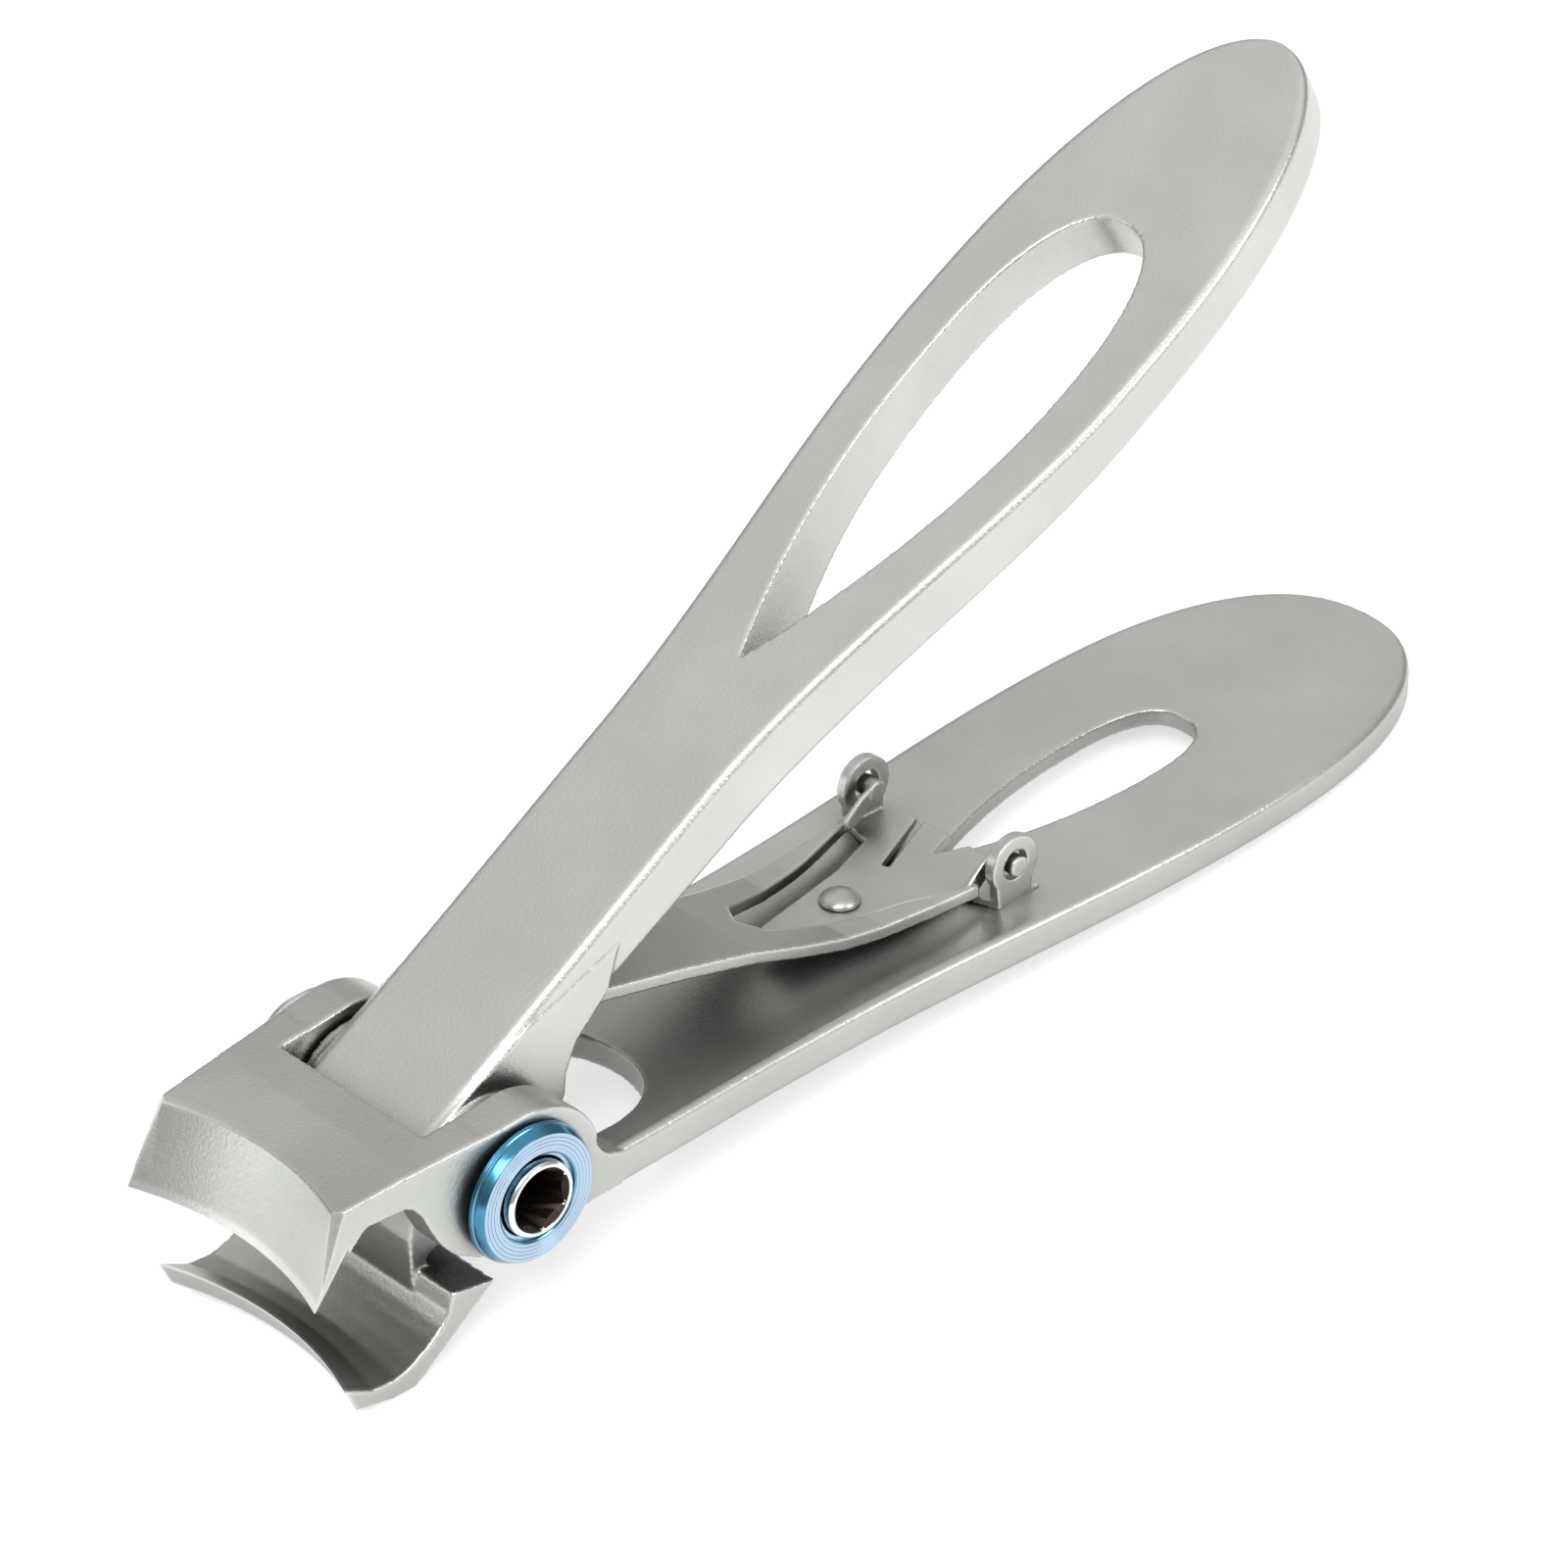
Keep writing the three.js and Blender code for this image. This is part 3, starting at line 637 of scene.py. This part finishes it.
def slit_cutter():
    length, half = SLIT["length"], SLIT["width"] / 2
    cutter = along_z("slit", [(0, -half), (length, -half), (length, half), (0, half)], -FAR, FAR)
    turn = Matrix.Rotation(math.radians(SLIT["turn"]), 4, "Z")
    cutter.data.transform(Matrix.Translation((SLIT["x"], SLIT["y"], 0)) @ turn)
    return cutter


def bracket():
    outer = EYELET["inner"] + EYELET["thick"]
    seat, top = BRACKET["seat"], BRACKET["seat"] + BRACKET["thick"]
    half = [
        (27, 1.2), (34.5, 2.6), (38.0, 3.9), (BRACKET["cross_from"], outer), (BRACKET["cross_to"], outer),
    ]
    body = along_z("bracket", half + mirrored(half), seat, top)
    x, foot = EYELET["x"], EYELET["foot"]
    head = arc(x, EYELET["z"], EYELET["radius"], -38, 218, 56)
    lug = [*head, (x - foot, seat + 0.05), (x + foot, seat + 0.05)]
    for y in (EYELET["inner"], -outer):
        joined(body, along_y("lug", lug, y, y + EYELET["thick"]))
    cut(
        body,
        disc_y("hole", x, EYELET["z"], EYELET["hole"], -FAR, FAR),
        slit_cutter(),
        tear_cutter(LOWER_TEAR),
    )
    soft_skin(body, VOXEL["bracket"], 4)
    shade_by_angle(body)
    return place(body, "frame", "satin_steel", "spring_bracket")


def rivet():
    top = BRACKET["seat"] + BRACKET["thick"] + 0.05
    radius, height = RIVET["radius"], RIVET["height"]
    dome = [(radius * c, top + height * s) for c, s in arc(0, 0, 1, 0, 84, 14)]
    profile = [(0, top - 0.3), (0.6, top - 0.3), (0.6, top)] + dome + [(0, top + height * 0.985)]
    obj = turned("rivet", profile, 1, 64)
    obj.data.transform(Matrix.Translation((RIVET["x"], 0, 0)) @ Matrix.Rotation(math.pi / 2, 4, "X"))
    obj.data.shade_smooth()
    return place(obj, "frame", "polished_steel", "bracket_rivet")


# ---------- materials ----------
def node(tree, kind, **settings):
    made = tree.nodes.new(kind)
    for key, value in settings.items():
        if key in made.inputs:
            made.inputs[key].default_value = value
        else:
            setattr(made, key, value)
    return made


def mapped(tree, socket, from_min, from_max, to_min=0.0, to_max=1.0):
    """The value of a socket, carried from one range to another."""
    limits = {"From Min": from_min, "From Max": from_max, "To Min": to_min, "To Max": to_max}
    ranged = node(tree, "ShaderNodeMapRange", **limits)
    tree.links.new(socket, ranged.inputs["Value"])
    return ranged.outputs["Result"]


def socket_of(sockets, name, kind):
    """A mix node has a colour socket and a number socket of each name."""
    return next(socket for socket in sockets if socket.name == name and socket.type == kind)


def blended(tree, factor, low, high):
    """A blend of two colours, each a socket or plain red, green and blue."""
    blend = node(tree, "ShaderNodeMix", data_type="RGBA")
    tree.links.new(factor, socket_of(blend.inputs, "Factor", "VALUE"))
    for name, colour in (("A", low), ("B", high)):
        target = socket_of(blend.inputs, name, "RGBA")
        if isinstance(colour, tuple):
            target.default_value = (*colour, 1)
        else:
            tree.links.new(colour, target)
    return socket_of(blend.outputs, "Result", "RGBA")


def clouded(tree, noise, dark, light):
    """The metal's slightly uneven tone."""
    tone = node(tree, "ShaderNodeValToRGB")
    for element, position, colour in zip(tone.color_ramp.elements, (0.35, 0.7), (dark, light)):
        element.position = position
        element.color = (*colour, 1)
    tree.links.new(noise.outputs["Fac"], tone.inputs["Fac"])
    return tone.outputs["Color"]


def near_face_painted_reflection(tree):
    """One on the faces turned to the near end of the axle, where the collar's face gets a lighter, greyer
    colour: a painted reflection.
    """
    across = node(tree, "ShaderNodeSeparateXYZ")
    tree.links.new(node(tree, "ShaderNodeNewGeometry").outputs["Normal"], across.inputs["Vector"])
    return mapped(tree, across.outputs["Y"], -0.75, -0.97)


def painted_recess_shade(tree, distance):
    """Less than one in recesses, for painted shade: the colour is darkened where other surfaces are near, as
    found by ambient occlusion.
    """
    shelter = node(tree, "ShaderNodeAmbientOcclusion", Distance=distance)
    shelter.samples = 6
    return mapped(tree, shelter.outputs["AO"], 0.15, 0.85, 0.36, 1.0)


def worn_edges_and_highlight(tree, amount):
    """More than zero along the edges, where the colour is lightened: part rubbed wear and part painted
    highlight.
    """
    rounding = node(tree, "ShaderNodeBevel", Radius=0.0004)
    rounding.samples = 4
    apart = node(tree, "ShaderNodeVectorMath", operation="DOT_PRODUCT")
    tree.links.new(rounding.outputs["Normal"], apart.inputs[0])
    tree.links.new(node(tree, "ShaderNodeNewGeometry").outputs["Normal"], apart.inputs[1])
    return mapped(tree, apart.outputs["Value"], 0.99, 0.9, 0.0, amount)


def steel(name, dark, light, roughness, bump, edge, grain=9000.0, face=None, recess=0.0):
    """Blasted or polished metal: cloudy tone, fine grain, brighter edges that are part rubbed wear and part
    painted highlight, and where asked, painted shade in recesses and a painted reflection on the near faces.
    """
    material = bpy.data.materials.new(name)
    material.use_nodes = True
    tree = material.node_tree
    link = tree.links.new
    shader = tree.nodes["Principled BSDF"]
    shader.inputs["Metallic"].default_value = 1.0
    cloud = node(tree, "ShaderNodeTexNoise", Scale=90.0, Detail=4.0, Roughness=0.6)
    fine = node(tree, "ShaderNodeTexNoise", Scale=grain, Detail=3.0, Roughness=0.7)
    grit = node(tree, "ShaderNodeTexNoise", Scale=grain * 0.5, Detail=2.0, Roughness=0.6)
    coordinates = node(tree, "ShaderNodeTexCoord").outputs["Object"]
    for noise in (cloud, fine, grit):
        link(coordinates, noise.inputs["Vector"])
    colour = clouded(tree, cloud, dark, light)
    # painted reflection: faces turned to the near end of the axle take the lighter face colour
    if face:
        colour = blended(tree, near_face_painted_reflection(tree), colour, face)
    # painted shade: the colour darkens towards black in recesses and under other parts
    if recess:
        colour = blended(tree, painted_recess_shade(tree, recess), (0.0, 0.0, 0.0), colour)
    # brighter edges: part rubbed wear, part painted highlight lines
    worn_edge_highlight_colour = tuple(min(1.0, 1.35 * c) for c in light)
    link(blended(tree, worn_edges_and_highlight(tree, edge), colour, worn_edge_highlight_colour), shader.inputs["Base Color"])
    rough = mapped(tree, fine.outputs["Fac"], 0.3, 0.7, 0.86 * roughness, 1.14 * roughness)
    link(rough, shader.inputs["Roughness"])
    relief = node(tree, "ShaderNodeBump", Strength=bump, Distance=0.00007)
    link(grit.outputs["Fac"], relief.inputs["Height"])
    link(relief.outputs["Normal"], shader.inputs["Normal"])
    return material


def paint(obj, material):
    obj.data.materials.clear()
    obj.data.materials.append(material)


def paint_socket_shadow(obj, material):
    """Paints the inside of the hexagon socket and its mouth dark: a painted shadow in the deep hole."""
    obj.data.materials.append(material)
    to_design = DESIGN.inverted()
    for face in obj.data.polygons:
        middle = to_design @ face.center
        if math.hypot(middle.x, middle.z) < 1.98 and abs(middle.y) < PIVOT_END - 0.1:
            face.material_index = 1


# ---------- stage ----------
def floor():
    size = 3.0
    corners = [(-size, -size, 0), (size, -size, 0), (size, size, 0), (-size, size, 0)]
    obj = mesh_object("floor", corners, [(0, 1, 2, 3)])
    material = bpy.data.materials.new("pale_floor")
    material.use_nodes = True
    tree = material.node_tree
    shader = tree.nodes["Principled BSDF"]
    shader.inputs["Roughness"].default_value = 0.9
    shader.inputs["Emission Color"].default_value = (1.0, 1.0, 0.995, 1)
    shader.inputs["Emission Strength"].default_value = 0.62
    mottle = node(tree, "ShaderNodeTexNoise", Scale=25.0, Detail=3.0)
    tree.links.new(mapped(tree, mottle.outputs["Fac"], 0.3, 0.7, 0.5, 0.54), shader.inputs["Base Color"])
    paint(obj, material)


def camera():
    data = bpy.data.cameras.new("camera")
    data.sensor_width = CAMERA["sensor"]
    data.lens = CAMERA["lens"]
    data.clip_start = 0.01
    obj = bpy.data.objects.new("camera", data)
    bpy.context.scene.collection.objects.link(obj)
    azimuth, elevation = math.radians(CAMERA["azimuth"]), math.radians(CAMERA["elevation"])
    level = Vector((math.sin(azimuth), -math.cos(azimuth), 0))
    back = level * math.cos(elevation) + Vector((0, 0, math.sin(elevation)))
    right = Vector((0, 0, 1)).cross(back).normalized()
    axes = Matrix((right, back.cross(right), back)).transposed().to_4x4()
    turn = Matrix.Rotation(STAND_PITCH, 4, "Y")
    place_at = DESIGN @ (Vector(CAMERA["aim"]) + back * CAMERA["distance"])
    obj.matrix_world = Matrix.Translation(place_at) @ turn @ axes
    bpy.context.scene.camera = obj


def area_light(name, place_at, aim, size, power):
    data = bpy.data.lights.new(name, "AREA")
    data.shape = "RECTANGLE"
    data.size, data.size_y = size
    data.energy = power
    obj = bpy.data.objects.new(name, data)
    bpy.context.scene.collection.objects.link(obj)
    obj.location = place_at
    obj.rotation_euler = (Vector(aim) - Vector(place_at)).to_track_quat("-Z", "Y").to_euler()


def lights():
    """The first two light the floor, and the others are seen by the blade and by the handle's tail."""
    middle = (0, 0, 0.02)
    area_light("key", (-0.45, -0.35, 0.8), middle, (0.5, 0.5), 7.0)
    area_light("side", (0.35, -0.8, 0.5), middle, (0.4, 0.4), 3.0)
    area_light("blade", (-0.62, 0.55, 0.2), middle, (0.45, 0.3), 0.75)
    area_light("tail", (0.26, 0.19, 0.16), (0.035, 0, 0), (0.13, 0.13), 0.022)


def world():
    """A studio that is darker round the sides and brighter overhead, by direction only."""
    scene = bpy.context.scene
    scene.world = bpy.data.worlds.new("studio")
    scene.world.use_nodes = True
    tree = scene.world.node_tree
    link = tree.links.new
    direction = node(tree, "ShaderNodeSeparateXYZ")
    link(node(tree, "ShaderNodeTexCoord").outputs["Generated"], direction.inputs["Vector"])
    shade = node(tree, "ShaderNodeValToRGB")
    elements = shade.color_ramp.elements
    while len(elements) < len(STUDIO_SHADES):
        elements.new(0.5)
    for element, (position, level) in zip(elements, STUDIO_SHADES):
        element.position = position
        element.color = (level, level, level * 0.985, 1)
    link(mapped(tree, direction.outputs["Z"], -1.0, 1.0), shade.inputs["Fac"])
    link(shade.outputs["Color"], tree.nodes["Background"].inputs["Color"])
    scene.view_settings.view_transform = "Standard"


# ---------- making ----------
camera()
world()
lights()
floor()

# How far the painted shade in recesses reaches, in metres.
RECESS_SHADE_REACH = 0.014
SATIN = steel("satin_steel", (0.47, 0.485, 0.46), (0.54, 0.55, 0.525), 0.36, 0.25, 0.6, recess=RECESS_SHADE_REACH)
PALE = steel("pale_steel", (0.52, 0.53, 0.505), (0.585, 0.595, 0.57), 0.36, 0.25, 0.6, recess=RECESS_SHADE_REACH)
SPRING = steel(
    "spring_steel", (0.45, 0.465, 0.44), (0.53, 0.54, 0.515), 0.32, 0.2, 0.8,
    grain=7000.0, recess=RECESS_SHADE_REACH,
)
POLISHED = steel("polished_steel", (0.70, 0.70, 0.69), (0.80, 0.80, 0.79), 0.16, 0.08, 0.5, grain=4000.0)
# The collar's lighter face colour is a painted reflection on its near face.
BLUE = steel(
    "blue_anodised", (0.03, 0.13, 0.22), (0.09, 0.30, 0.47), 0.2, 0.08, 0.3,
    grain=3000.0, face=(0.42, 0.52, 0.64),
)
# painted shadow for the inside of the hexagon sockets
SOCKET_PAINTED_SHADOW = steel("socket_shadow", (0.035, 0.026, 0.022), (0.06, 0.045, 0.04), 0.5, 0.3, 0.2)

paint(lower_handle(), SATIN)
paint(upper_lever(), PALE)
paint(return_spring(), SPRING)
paint(bracket(), SATIN)
paint(rivet(), SATIN)
paint(collar(-1, "blue_anodised", "blue_collar"), BLUE)
paint(collar(1, "polished_steel", "steel_collar"), POLISHED)
for pin in (nut(), screw()):
    paint(pin, POLISHED)
    paint_socket_shadow(pin, SOCKET_PAINTED_SHADOW)
